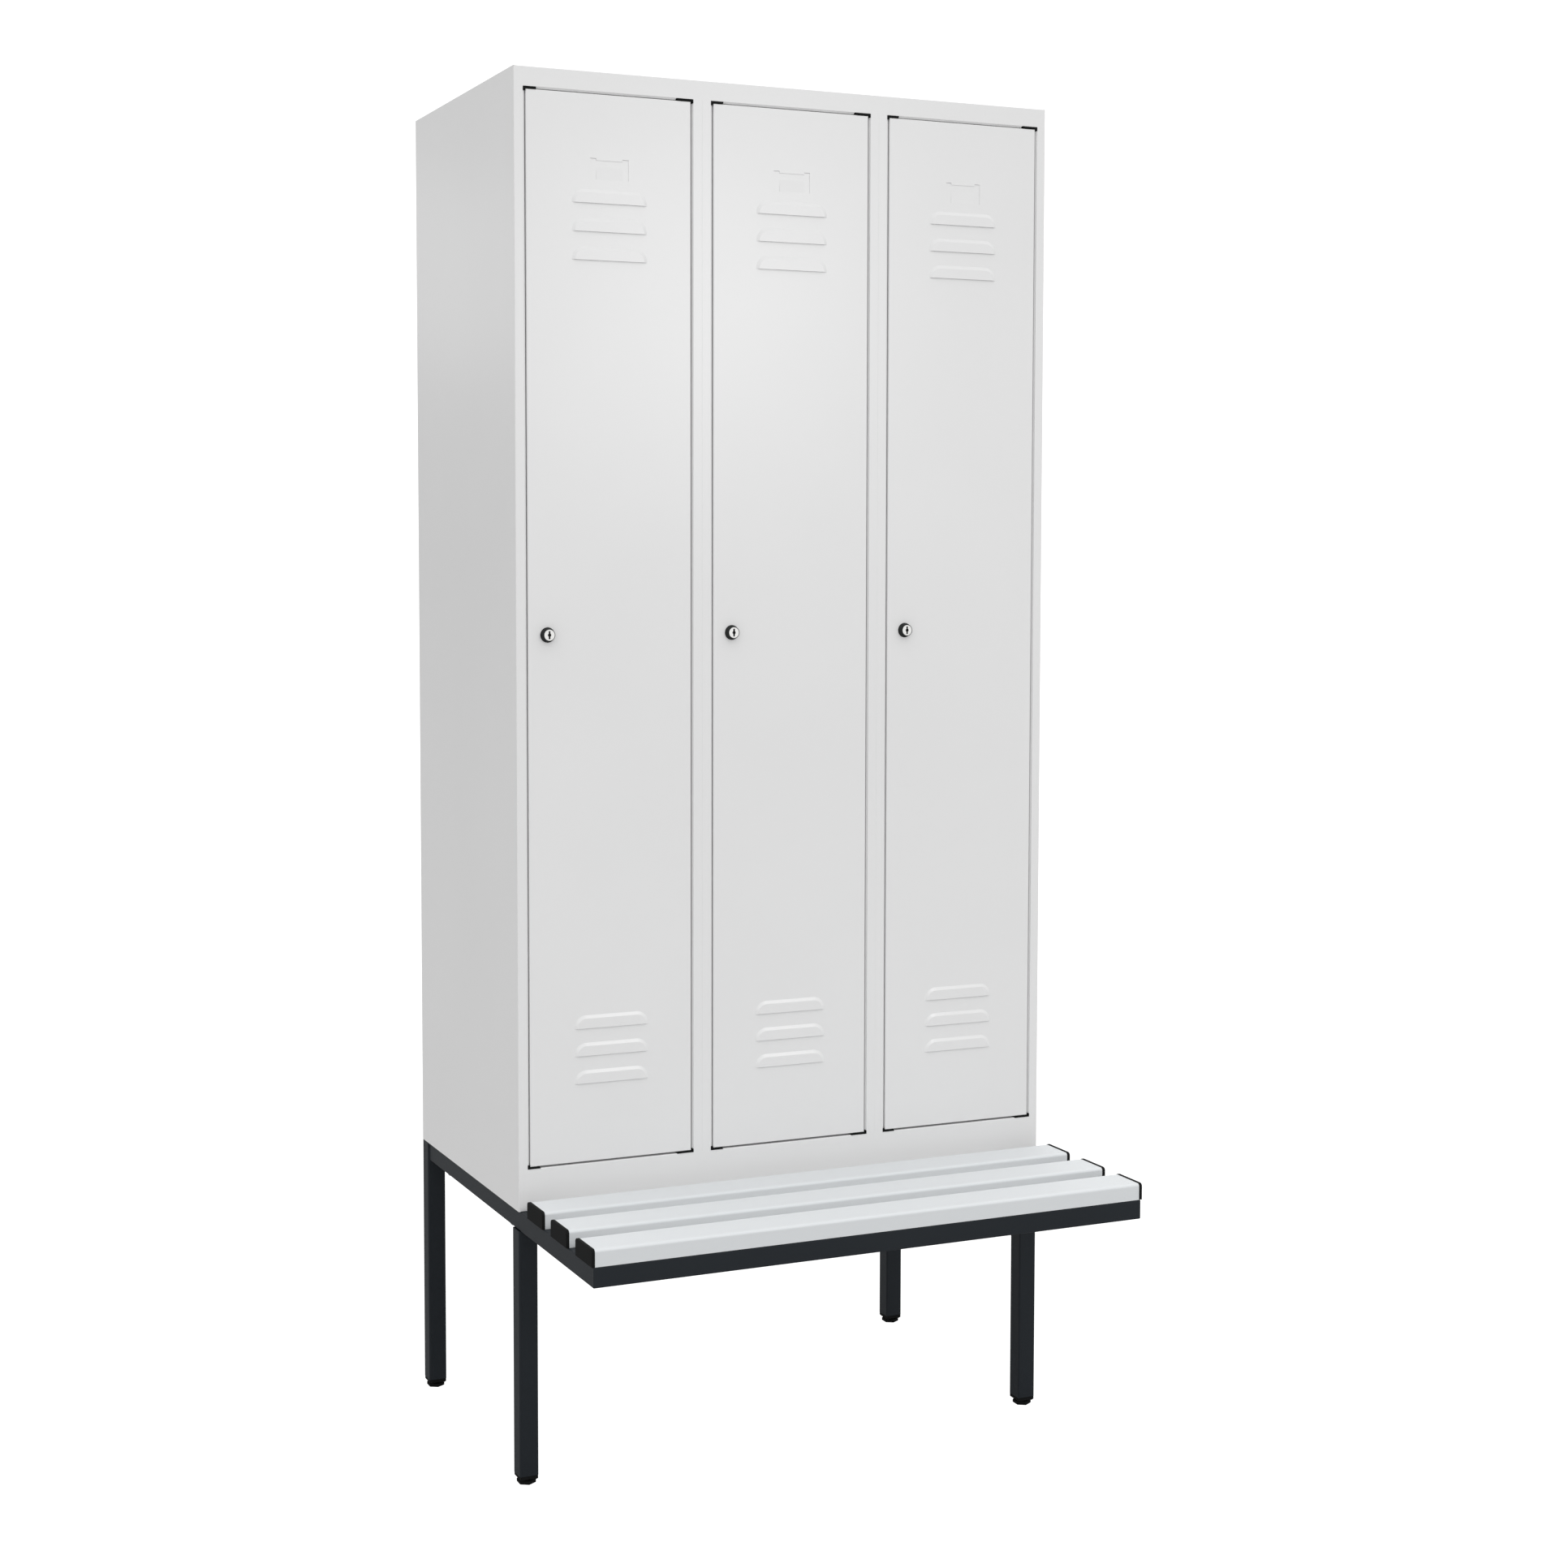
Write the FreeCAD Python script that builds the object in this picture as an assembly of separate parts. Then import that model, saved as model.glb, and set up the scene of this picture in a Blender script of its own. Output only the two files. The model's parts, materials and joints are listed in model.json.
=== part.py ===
"""Steel locker with three doors on a tube frame with a slatted bench.

X runs to the right, Y to the rear and Z up, in millimetres. The origin is on the floor, in the middle of
the width and of the whole depth, bench included.
"""
import FreeCAD, Part
import math
import os

# Driving sizes of the whole
cabinet_width = 900.0
cabinet_depth = 500.0
cabinet_height = 1700.0
base_height = 422.0
bench_projection = 310.0
compartment_names = ("left", "middle", "right")

# Folded steel sheet of the cabinet
sheet = 0.8
bend_inside = 0.4
stile_width = 15.0
return_depth = 25.0
top_rail_height = 29.4
bottom_rail_height = 63.8
corner_lip = 3.0
rear_flange = 20.0
bottom_flange = 40.0
weld_flange = 15.0
seam_bevel = 0.2

# Doors
door_depth = 20.0
door_side_gap = 3.8
door_top_gap = 3.3
door_bottom_gap = 2.9

# Pressed louvres, one group near the top and one near the bottom of each door
louvre_count = 3
louvre_width = 120.0
louvre_height = 20.0
louvre_pitch = 42.0
louvre_bevel = 5.0
louvre_rise = 1.8
louvre_corner = 19.0
louvre_top_offset = 160.0
louvre_bottom_offset = 120.0

# Field for a name card, pressed into each door
card_width = 61.0
card_height = 31.0
card_top_offset = 94.0
card_depth = 0.7
card_ear_width = 9.5
card_middle_drop = 2.7
card_middle_ramp = 18.0
card_slit = 0.3

# Hinges
hinge_inset = 10.0
hinge_setback = 7.0
pin_radius = 3.0
pin_head_radius = 5.0
pin_head_height = 2.0
pin_clearance = 0.05
pin_end_clearance = 0.5
boss_radius = 5.5
boss_length = 5.0

# Black corner pieces of the door openings
corner_depth = 15.0
corner_leg = 2.0
corner_clearance = 0.3
corner_cover = 0.3
corner_proud = 0.5
bearing_length = 27.0
bearing_taper = 4.0
bearing_leg_thickness = 1.6
buffer_length = 20.0
buffer_taper = 1.0
buffer_side_clearance = 0.7

# Locks
lock_inset = 30.6
collar_radius = 11.5
collar_front_radius = 9.0
collar_length = 9.4
housing_radius = 10.0
housing_depth = 22.0
cylinder_radius = 8.2
cylinder_sunk = 0.4
cylinder_clearance = 0.05
keyhole_height = 12.0
keyhole_width = 2.7
keyhole_round_radius = 2.7
keyhole_depth = 4.0
tail_radius = 5.0
tail_end = 2.0
cam_clearance = 1.0
cam_thickness = 2.5
cam_width = 15.0
cam_reach = 42.0

# Shelf, coat rail and hooks in each compartment
shelf_drop = 330.0
shelf_clearance = 7.0
shelf_lip = 20.0
shelf_return = 10.0
coat_rail_drop = 45.0
coat_rail_height = 30.0
coat_rail_width = 15.0
coat_rail_wall = 1.5
bracket_plate = 3.0
bracket_socket = 9.0
bracket_wall = 2.0
bracket_margin = 6.0
hook_thickness = 8.0
hook_wall = 3.0
hook_clearance = 0.35
hook_stem_length = 34.0
hook_stem_width = 6.0
hook_inner_radius = 11.0
hook_band = 5.0
hook_spacing = 70.0
hook_names = ("left", "middle", "right")

# Tubes of the base frame
leg_side = 30.0
leg_wall = 1.5
leg_corner = 2.5
rail_inset = 2.5
rail_height = 30.0
rail_wall = 1.5
rail_corner = 2.0
rear_cross_gap = 10.0

# Bench slats, hollow plastic profiles
slat_names = ("front", "middle", "rear")
slat_depth = 65.0
slat_height = 25.0
slat_wall = 3.0
slat_corner = 4.5
slat_chambers = 3
slat_end_inset = 1.0
cap_thickness = 4.0
cap_screw_clearance = 1.5
cap_clearance = 0.2

# Leg plugs and levelling feet
plug_lip = 7.0
plug_inset = 0.8
plug_chamfer = 2.0
plug_depth = 20.0
foot_pad_radius = 15.0
foot_pad_height = 5.5
foot_pad_chamfer = 1.0
foot_gap = 1.5
stud_radius = 5.0
stud_length = 48.0
stud_clearance = 0.1

# Fasteners
screw_radius = 2.5
screw_head_radius = 5.0
screw_head_height = 3.0
screw_bite = 5.0
bolt_radius = 4.0
bolt_head_radius = 7.5
bolt_head_height = 5.3
bolt_grip = 10.0
bolt_front_setback = 60.0
bolt_rear_setback = 120.0

# Clearance of a piece that is pushed into a hole or a tube
fit_clearance = 0.1

# Main planes worked out from the sizes above
left_x = -cabinet_width / 2
right_x = cabinet_width / 2
front_y = (bench_projection - cabinet_depth) / 2
rear_y = front_y + cabinet_depth
back_y = rear_y - 2 * sheet
bench_front_y = front_y - bench_projection
bottom_z = base_height
top_z = base_height + cabinet_height
floor_z = bottom_z + bottom_rail_height
lintel_z = top_z - top_rail_height
bend_outside = bend_inside + sheet

# Compartments and doors
module = cabinet_width / len(compartment_names)
seams = [left_x + module * k for k in range(1, len(compartment_names))]
door_width = module - 2 * stile_width - 2 * door_side_gap
door_bottom = floor_z + door_bottom_gap
door_top = lintel_z - door_top_gap
hinge_y = front_y + hinge_setback
lock_z = (door_bottom + door_top) / 2
housing_end = front_y + housing_depth
cam_start = front_y + max(return_depth, door_depth, housing_depth) + cam_clearance
shelf_front_y = front_y + max(return_depth, door_depth) + shelf_clearance
shelf_z = top_z - shelf_drop
coat_rail_y = (front_y + rear_y) / 2
coat_rail_z = shelf_z - coat_rail_drop

# Base
rail_width = leg_side - 2 * rail_inset
rail_left = left_x + rail_inset
rail_right = right_x - rail_inset
rail_middle = rail_left + rail_width / 2
rail_bottom = base_height - rail_height
slat_left = left_x + slat_end_inset + cap_thickness
slat_right = right_x - slat_end_inset - cap_thickness
slat_gap = bench_projection / len(slat_names) - slat_depth
cap_plug_end = rail_middle - screw_radius - cap_screw_clearance
leg_bottom = foot_pad_height + foot_gap + plug_lip
bolt_places = (front_y + bolt_front_setback, rear_y - bolt_rear_setback)


# Helpers
def at(x, y, z):
    """A point in space."""
    return FreeCAD.Vector(x, y, z)


def block(x_ends, y_ends, z_ends):
    """A box between two values on each axis, in either order."""
    low = [min(ends) for ends in (x_ends, y_ends, z_ends)]
    size = [abs(ends[1] - ends[0]) for ends in (x_ends, y_ends, z_ends)]
    return Part.makeBox(*size, at(*low))


def rod(radius, start, end):
    """A round bar from one point to another."""
    along = end - start
    return Part.makeCylinder(radius, along.Length, start, along)


def outline(start, steps):
    """A closed face from a point through lines, given as points, and arcs, given as (through, end)."""
    edges = []
    here = start
    for step in steps:
        if isinstance(step, tuple):
            through, end = step
            edges.append(Part.Arc(here, through, end).toShape())
        else:
            end = step
            edges.append(Part.LineSegment(here, end).toShape())
        here = end
    if here.distanceToPoint(start) > 1e-6:
        edges.append(Part.LineSegment(here, start).toShape())
    return Part.Face(Part.Wire(edges))


def fused(shapes):
    """One solid from shapes that touch or overlap, with flush faces joined."""
    return shapes[0].fuse(shapes[1:]).removeSplitter()


def mirrored(shape):
    """The same shape on the other side of the middle of the width."""
    return shape.mirror(at(0, 0, 0), at(1, 0, 0))


def edges_along(shape, axis):
    """The straight edges of a box that run along X, Y or Z, given as 0, 1 or 2."""
    found = []
    for edge in shape.Edges:
        run = edge.Vertexes[1].Point - edge.Vertexes[0].Point
        if abs(abs(run[axis]) - run.Length) < 1e-6:
            found.append(edge)
    return found


def edges_at(shape, axis, value):
    """The edges of a box that lie in the plane where X, Y or Z has a value."""
    return [edge for edge in shape.Edges if all(abs(v.Point[axis] - value) < 1e-6 for v in edge.Vertexes)]


def folded_sheet(path, along):
    """A sheet folded along a path of points on its outer skin and drawn out along a vector.

    Every bend turns left by a quarter, seen against the vector, and the thickness lies on the left.
    """
    normal = FreeCAD.Vector(along).normalize()
    outside = []
    inside = []
    for before, corner, after in zip(path, path[1:], path[2:]):
        arriving = (corner - before).normalize()
        leaving = (after - corner).normalize()
        centre = corner + (leaving - arriving) * bend_outside
        crest = (corner - centre).normalize()
        outside += [corner - arriving * bend_outside]
        outside += [(centre + crest * bend_outside, corner + leaving * bend_outside)]
        inner_arc = (centre + crest * bend_inside, centre - leaving * bend_inside)
        inside = [centre + arriving * bend_inside, inner_arc] + inside
    first_side = normal.cross((path[1] - path[0]).normalize()) * sheet
    last_side = normal.cross((path[-1] - path[-2]).normalize()) * sheet
    steps = outside + [path[-1], path[-1] + last_side] + inside + [path[0] + first_side]
    return outline(path[0], steps).extrude(along)


def tube(x_ends, y_ends, z_ends, axis, wall, corner):
    """A rectangular tube along X, Y or Z with rounded corners."""
    ends = [list(x_ends), list(y_ends), list(z_ends)]
    outer = block(*ends)
    hollow_ends = [pair if i == axis else [pair[0] + wall, pair[1] - wall] for i, pair in enumerate(ends)]
    hollow = block(*hollow_ends)
    inner_corner = max(corner - wall, corner / 10)
    outer = outer.makeFillet(corner, edges_along(outer, axis))
    return outer.cut(hollow.makeFillet(inner_corner, edges_along(hollow, axis)))


def save(name, *solids):
    """Writes one piece, or a group of separate like pieces."""
    shape = solids[0] if len(solids) == 1 else Part.makeCompound(solids)
    shape.exportStep("parts/" + name + ".step")
    print(name, len(shape.Solids), "solid(s)", round(shape.Volume / 1000, 2), "cm3", shape.isValid())


# Cabinet shell
def hinge_x(i):
    """X of the hinge axis of door i."""
    return left_x + (i + 1) * module - stile_width - door_side_gap - hinge_inset


def boss_holes(z):
    """Round cutters for the bearing bosses, through a sheet at a height."""
    reach = 2 * sheet
    radius = boss_radius + fit_clearance
    return [rod(radius, at(hinge_x(i), hinge_y, z - reach), at(hinge_x(i), hinge_y, z + reach))
            for i in range(len(compartment_names))]


def side_panel():
    """Left side with rear flange, front stile and its return from one sheet, and a flange below."""
    wall = [at(left_x + rear_flange, rear_y, 0), at(left_x, rear_y, 0), at(left_x, front_y, 0)]
    stile = [at(left_x + stile_width, front_y, 0), at(left_x + stile_width, front_y + return_depth, 0)]
    lip = [at(left_x + corner_lip, front_y, 0)]
    storeys = []
    for path, low, high in ((wall + lip, bottom_z, floor_z), (wall + stile, floor_z, lintel_z),
                            (wall + lip, lintel_z, top_z)):
        storeys.append(folded_sheet([point + at(0, 0, low) for point in path], at(0, 0, high - low)))
    sole = block((left_x + sheet, left_x + bottom_flange), (front_y + bend_outside, back_y),
                 (bottom_z, bottom_z + sheet))
    holes = [rod(bolt_radius + fit_clearance, at(rail_middle, y, bottom_z - sheet),
                 at(rail_middle, y, bottom_z + 2 * sheet)) for y in bolt_places]
    return fused(storeys + [sole]).cut(holes)


def front_notches(low, high):
    """Cutters where a rail gives way to the folded corner of both sides."""
    notch = block((left_x + sheet, left_x + corner_lip), (front_y, front_y + bend_outside), (low, high))
    return [notch, mirrored(notch)]


def bend_fill(x_ends, z, upward):
    """A bar that squares a rail's rounded bend where a stile is welded on and ground flush."""
    x, reach = x_ends[0], bend_outside
    points = [at(x, front_y, z), at(x, front_y + reach, z), at(x, front_y, z + upward * reach)]
    return outline(points[0], points[1:]).extrude(at(x_ends[1] - x, 0, 0))


def stile_fills(z, upward):
    """The fills of one rail at all the stiles."""
    side = bend_fill((left_x + corner_lip, left_x + stile_width), z, upward)
    middle = [bend_fill((seam - stile_width, seam + stile_width), z, upward) for seam in seams]
    return [side, mirrored(side)] + middle


def seam_fill(seam_x, outward):
    """A bar that squares the rounded bend at a middle stile's seam, apart from a fine bevel."""
    places = [(-bend_outside, 0), (-seam_bevel, 0), (0, seam_bevel), (0, bend_outside)]
    points = [at(seam_x + outward * x, front_y + y, floor_z) for x, y in places]
    return outline(points[0], points[1:]).extrude(at(0, 0, lintel_z - floor_z))


def top_panel():
    """Top plate with a rear flange, the front rail and the rail's return."""
    x = left_x + sheet
    path = [at(x, rear_y, top_z - rear_flange), at(x, rear_y, top_z), at(x, front_y, top_z),
            at(x, front_y, lintel_z), at(x, front_y + return_depth, lintel_z)]
    panel = fused([folded_sheet(path, at(cabinet_width - 2 * sheet, 0, 0))] + stile_fills(lintel_z, 1))
    rear_notch = block((x, left_x + rear_flange), (rear_y - bend_outside, rear_y),
                       (top_z - rear_flange, top_z))
    notches = front_notches(lintel_z, top_z) + [rear_notch, mirrored(rear_notch)]
    return panel.cut(notches + boss_holes(lintel_z))


def floor_panel():
    """Compartment floor with a rear flange, the bottom rail in front and a flange on the base frame."""
    x = left_x + sheet
    path = [at(x, back_y, floor_z - weld_flange), at(x, back_y, floor_z), at(x, front_y, floor_z),
            at(x, front_y, bottom_z), at(x, front_y + bottom_flange, bottom_z)]
    panel = fused([folded_sheet(path, at(cabinet_width - 2 * sheet, 0, 0))] + stile_fills(floor_z, -1))
    sole_notch = block((x, left_x + bottom_flange), (front_y + bend_outside, front_y + bottom_flange),
                       (bottom_z, bottom_z + sheet))
    notches = front_notches(bottom_z, floor_z) + [sole_notch, mirrored(sole_notch)]
    return panel.cut(notches + boss_holes(floor_z))


def rear_panel():
    """Flat sheet in front of the rear flanges."""
    return block((left_x + bend_outside, right_x - bend_outside), (back_y, rear_y - sheet),
                 (bottom_z, top_z - bend_outside))


def partition(seam_x):
    """Wall between two compartments, folded in front into the left half of a middle stile."""
    z = floor_z
    path = [at(seam_x - stile_width, front_y + return_depth, z), at(seam_x - stile_width, front_y, z),
            at(seam_x, front_y, z), at(seam_x, back_y, z)]
    wall = folded_sheet(path, at(0, 0, lintel_z - floor_z))
    upper = block((seam_x - sheet, seam_x), (front_y + return_depth + fit_clearance, back_y),
                  (lintel_z, top_z - sheet))
    return fused([wall, upper, seam_fill(seam_x, 1)])


def half_stile(seam_x):
    """Right half of a middle stile, an angle spot welded to the partition."""
    z = floor_z
    path = [at(seam_x, front_y + return_depth, z), at(seam_x, front_y, z),
            at(seam_x + stile_width, front_y, z), at(seam_x + stile_width, front_y + return_depth, z)]
    return fused([folded_sheet(path, at(0, 0, lintel_z - floor_z)), seam_fill(seam_x, -1)])


# Inside fittings
def inner_walls(i):
    """X of the two walls inside compartment i."""
    low = left_x + i * module
    return low + (sheet if i == 0 else 0.0), low + module - sheet


def hat_shelf(i):
    """Folded shelf with a lip in front, from wall to wall."""
    x, end = inner_walls(i)
    front, lip_z = shelf_front_y, shelf_z - shelf_lip
    path = [at(x, back_y, shelf_z - weld_flange), at(x, back_y, shelf_z), at(x, front, shelf_z),
            at(x, front, lip_z), at(x, front + shelf_return, lip_z)]
    return folded_sheet(path, at(end - x, 0, 0))


def oval_bar(x_ends, margin):
    """A bar with the coat rail's flat oval section, larger than the rail by a margin all round."""
    radius = coat_rail_width / 2 + margin
    rise = (coat_rail_height - coat_rail_width) / 2
    x, y, z = x_ends[0], coat_rail_y, coat_rail_z
    steps = [at(x, y + radius, z + rise), (at(x, y, z + rise + radius), at(x, y - radius, z + rise)),
             at(x, y - radius, z - rise), (at(x, y, z - rise - radius), at(x, y + radius, z - rise))]
    return outline(at(x, y + radius, z - rise), steps).extrude(at(x_ends[1] - x_ends[0], 0, 0))


def coat_rail(i):
    """Oval tube between the plates of its two brackets."""
    left_wall, right_wall = inner_walls(i)
    ends = (left_wall + bracket_plate, right_wall - bracket_plate)
    return oval_bar(ends, 0).cut(oval_bar(ends, -coat_rail_wall))


def coat_rail_brackets(i):
    """A wall plate with a socket for each end of the coat rail."""
    brackets = []
    half_depth = coat_rail_width / 2 + bracket_margin
    half_height = coat_rail_height / 2 + bracket_margin
    for wall, inward in zip(inner_walls(i), (1, -1)):
        face = wall + inward * bracket_plate
        mouth = face + inward * bracket_socket
        plate = block((wall, face), (coat_rail_y - half_depth, coat_rail_y + half_depth),
                      (coat_rail_z - half_height, coat_rail_z + half_height))
        socket = oval_bar((face, mouth), fit_clearance + bracket_wall)
        brackets.append(fused([plate, socket.cut(oval_bar((face, mouth), fit_clearance))]))
    return brackets


def coat_hook(x):
    """Double hook hanging from a loop round the coat rail."""
    ends = (x - hook_thickness / 2, x + hook_thickness / 2)
    loop = oval_bar(ends, hook_clearance + hook_wall)
    loop_bottom = coat_rail_z - coat_rail_height / 2 - hook_clearance
    turn_z = loop_bottom - hook_stem_length
    half_stem = hook_stem_width / 2
    pieces = [loop, block(ends, (coat_rail_y - half_stem, coat_rail_y + half_stem), (turn_z, loop_bottom))]
    for side in (-1, 1):
        centre_y = coat_rail_y + side * (half_stem + hook_inner_radius)
        reach = hook_inner_radius + hook_band
        ring = rod(reach, at(ends[0], centre_y, turn_z), at(ends[1], centre_y, turn_z))
        eye = rod(hook_inner_radius, at(ends[0], centre_y, turn_z), at(ends[1], centre_y, turn_z))
        above = block(ends, (centre_y - reach, centre_y + reach), (turn_z, turn_z + reach))
        pieces.append(ring.cut([eye, above]))
    return fused(pieces).cut(oval_bar(ends, hook_clearance))


# Black corner pieces of the door openings
def corner_solid(edge_x, frame_z, inward, downward, length, taper, leg_thickness, gap):
    """An L in the gap at one corner of an opening, with a thin front lip over the edge of the frame.

    It is drawn in distances from the corner, inward along the frame and downward towards the door.
    """
    gap_depth = gap - corner_clearance
    leg_end = gap + corner_leg

    def prism(cover, y_start, y_end):
        places = [(-cover, -cover), (length, -cover), (length - taper, gap_depth),
                  (leg_thickness, gap_depth), (leg_thickness, leg_end), (-cover, leg_end)]
        points = [at(edge_x + inward * across, y_start, frame_z - downward * down)
                  for across, down in places]
        return outline(points[0], points[1:]).extrude(at(0, y_end - y_start, 0))

    filling = prism(0, front_y, front_y + corner_depth)
    return fused([filling, prism(corner_cover, front_y - corner_proud, front_y)])


def door_buffer(i, frame_z, downward, gap):
    """Buffer at a corner on the lock side."""
    edge_x = left_x + i * module + stile_width
    leg_thickness = door_side_gap - buffer_side_clearance
    return corner_solid(edge_x, frame_z, 1, downward, buffer_length, buffer_taper, leg_thickness, gap)


def hinge_bearing(i, frame_z, downward, gap):
    """Bearing at a corner on the hinge side, with a boss through the frame and a bore for the pin."""
    edge_x = left_x + (i + 1) * module - stile_width
    body = corner_solid(edge_x, frame_z, -1, downward, bearing_length, bearing_taper,
                        bearing_leg_thickness, gap)
    boss_end = at(hinge_x(i), hinge_y, frame_z + downward * (sheet + boss_length))
    boss = rod(boss_radius, at(hinge_x(i), hinge_y, frame_z), boss_end)
    bore = rod(pin_radius + pin_clearance, at(hinge_x(i), hinge_y, frame_z - downward * 2 * gap), boss_end)
    return fused([body, boss]).cut(bore)


# Doors, drawn once in the first compartment
door_left = left_x + stile_width + door_side_gap
door_right = door_left + door_width
door_middle = (door_left + door_right) / 2
lock_x = door_left + lock_inset


def louvre_wire(lower_z, y, inset):
    """Outline of a louvre: straight below, with two round corners above, drawn in by an inset."""
    half = louvre_width / 2 - inset
    high = lower_z + louvre_height - inset
    radius = louvre_corner - inset
    knee = radius * (1 - math.sqrt(0.5))
    left, right = door_middle - half, door_middle + half
    steps = [at(right, y, lower_z), at(right, y, high - radius),
             (at(right - knee, y, high - knee), at(right - radius, y, high)), at(left + radius, y, high),
             (at(left + knee, y, high - knee), at(left, y, high - radius))]
    return outline(at(left, y, lower_z), steps).OuterWire


def louvre(lower_z):
    """The pressed hood of a louvre and the hollow behind it, which is open below."""
    crest_y = front_y - louvre_rise
    wires = [louvre_wire(lower_z, front_y, 0), louvre_wire(lower_z, crest_y, louvre_bevel)]
    hood = Part.makeLoft(wires, True, True)
    slope = louvre_bevel / louvre_rise
    wall_inset = sheet * math.hypot(1, slope)
    wires = [louvre_wire(lower_z, front_y + sheet, wall_inset - slope * sheet),
             louvre_wire(lower_z, crest_y + sheet, wall_inset + slope * (louvre_rise - sheet))]
    return hood, Part.makeLoft(wires, True, True)


def card_field():
    """The back of the pressed field for a name card, and the cutters that hollow it from the front.

    The field has square ears left and right, each with a slit above for the card's corner. Between them
    its edge is lower, and its floor slopes out again below.
    """
    left, right = door_middle - card_width / 2, door_middle + card_width / 2
    high = door_top - card_top_offset
    low = high - card_height
    floor_y = front_y + card_depth
    back = block((left - sheet, right + sheet), (front_y + sheet, floor_y + sheet),
                 (low - sheet, high + sheet))
    middle_left = left + card_ear_width
    middle_high = high - card_middle_drop
    middle = outline(at(middle_left, front_y, low),
                     [at(middle_left, floor_y, low + card_middle_ramp),
                      at(middle_left, floor_y, middle_high - card_depth),
                      at(middle_left, front_y, middle_high)])
    cutters = [middle.extrude(at(card_width - 2 * card_ear_width, 0, 0))]
    for ear in ((left, middle_left), (right - card_ear_width, right)):
        cutters.append(block(ear, (front_y, floor_y), (low, high)))
        cutters.append(block(ear, (floor_y, floor_y + sheet), (high - card_slit, high)))
    return back, cutters


def door_panel():
    """Folded pan with louvres, card field, lock hole and holes for the hinge pins."""
    skin = block((door_left, door_right), (front_y, front_y + door_depth), (door_bottom, door_top))
    skin = skin.makeFillet(bend_outside, edges_at(skin, 1, front_y))
    hollow = block((door_left + sheet, door_right - sheet), (front_y + sheet, front_y + door_depth),
                   (door_bottom + sheet, door_top - sheet))
    back, cutters = card_field()
    raised = [back]
    cutters.append(rod(housing_radius + fit_clearance, at(lock_x, front_y - sheet, lock_z),
                       at(lock_x, front_y + 2 * sheet, lock_z)))
    for z in (door_bottom, door_top):
        cutters.append(rod(pin_radius + pin_clearance, at(hinge_x(0), hinge_y, z - 2 * sheet),
                           at(hinge_x(0), hinge_y, z + 2 * sheet)))
    for k in range(louvre_count):
        for lower_z in (door_top - louvre_top_offset - k * louvre_pitch,
                        door_bottom + louvre_bottom_offset + k * louvre_pitch):
            hood, behind = louvre(lower_z)
            raised.append(hood)
            cutters.append(behind)
    return fused([skin.cut(hollow)] + raised).cut(cutters)


def hinge_pins():
    """Upper and lower pin, each with a head inside the door and its end in a bearing."""
    pins = []
    for door_z, frame_z, outward in ((door_top, lintel_z, 1), (door_bottom, floor_z, -1)):
        seat = at(hinge_x(0), hinge_y, door_z - outward * sheet)
        tip = at(hinge_x(0), hinge_y, frame_z + outward * (sheet + boss_length - pin_end_clearance))
        head = rod(pin_head_radius, seat - at(0, 0, outward * pin_head_height), seat)
        pins.append(fused([head, rod(pin_radius, seat, tip)]))
    return pins


def on_lock_axis(y):
    """A point on the lock's axis."""
    return at(lock_x, y, lock_z)


def lock_housing():
    """Barrel through the door with a conical collar in front."""
    mouth, end = on_lock_axis(front_y - collar_length), on_lock_axis(housing_end)
    collar = Part.makeCone(collar_front_radius, collar_radius, collar_length, mouth, at(0, 1, 0))
    barrel = rod(housing_radius, on_lock_axis(front_y), end)
    bore = rod(cylinder_radius + cylinder_clearance, mouth, end)
    return fused([collar, barrel]).cut(bore)


def lock_cylinder():
    """Turning cylinder with a keyhole in its face and a tail that carries the cam."""
    face_y = front_y - collar_length + cylinder_sunk
    tail_y = cam_start + cam_thickness + tail_end
    body = rod(cylinder_radius, on_lock_axis(face_y), on_lock_axis(housing_end))
    tail = rod(tail_radius, on_lock_axis(housing_end), on_lock_axis(tail_y))
    slot = block((lock_x - keyhole_width / 2, lock_x + keyhole_width / 2), (face_y, face_y + keyhole_depth),
                 (lock_z - keyhole_height / 2, lock_z + keyhole_height / 2))
    pilot = rod(keyhole_round_radius, on_lock_axis(face_y), on_lock_axis(face_y + keyhole_depth))
    return fused([body, tail]).cut([slot, pilot])


def lock_cam():
    """Flat tongue on the tail, hanging down while the lock is open."""
    ends = (cam_start, cam_start + cam_thickness)
    half = cam_width / 2
    tip_z = lock_z - cam_reach + half
    blade = block((lock_x - half, lock_x + half), ends, (tip_z, lock_z))
    rounds = [rod(half, at(lock_x, ends[0], z), at(lock_x, ends[1], z)) for z in (lock_z, tip_z)]
    hole = rod(tail_radius + fit_clearance, on_lock_axis(ends[0]), on_lock_axis(ends[1]))
    return fused([blade] + rounds).cut(hole)


# Base frame
def leg(x, y, high):
    """Square tube standing on its plug, with its left front edge at x and y."""
    return tube((x, x + leg_side), (y, y + leg_side), (leg_bottom, high), 2, leg_wall, leg_corner)


def fastener_holes(radius, places):
    """Round cutters through the left side rail."""
    return [rod(radius + fit_clearance, at(rail_middle, y, rail_bottom - rail_wall),
                at(rail_middle, y, base_height + rail_wall)) for y in places]


def slat_front(k):
    """Y of the front of slat k, counted from the front."""
    return bench_front_y + k * (slat_depth + slat_gap)


screw_places = [slat_front(k) + slat_depth / 2 for k in range(len(slat_names))]


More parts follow.
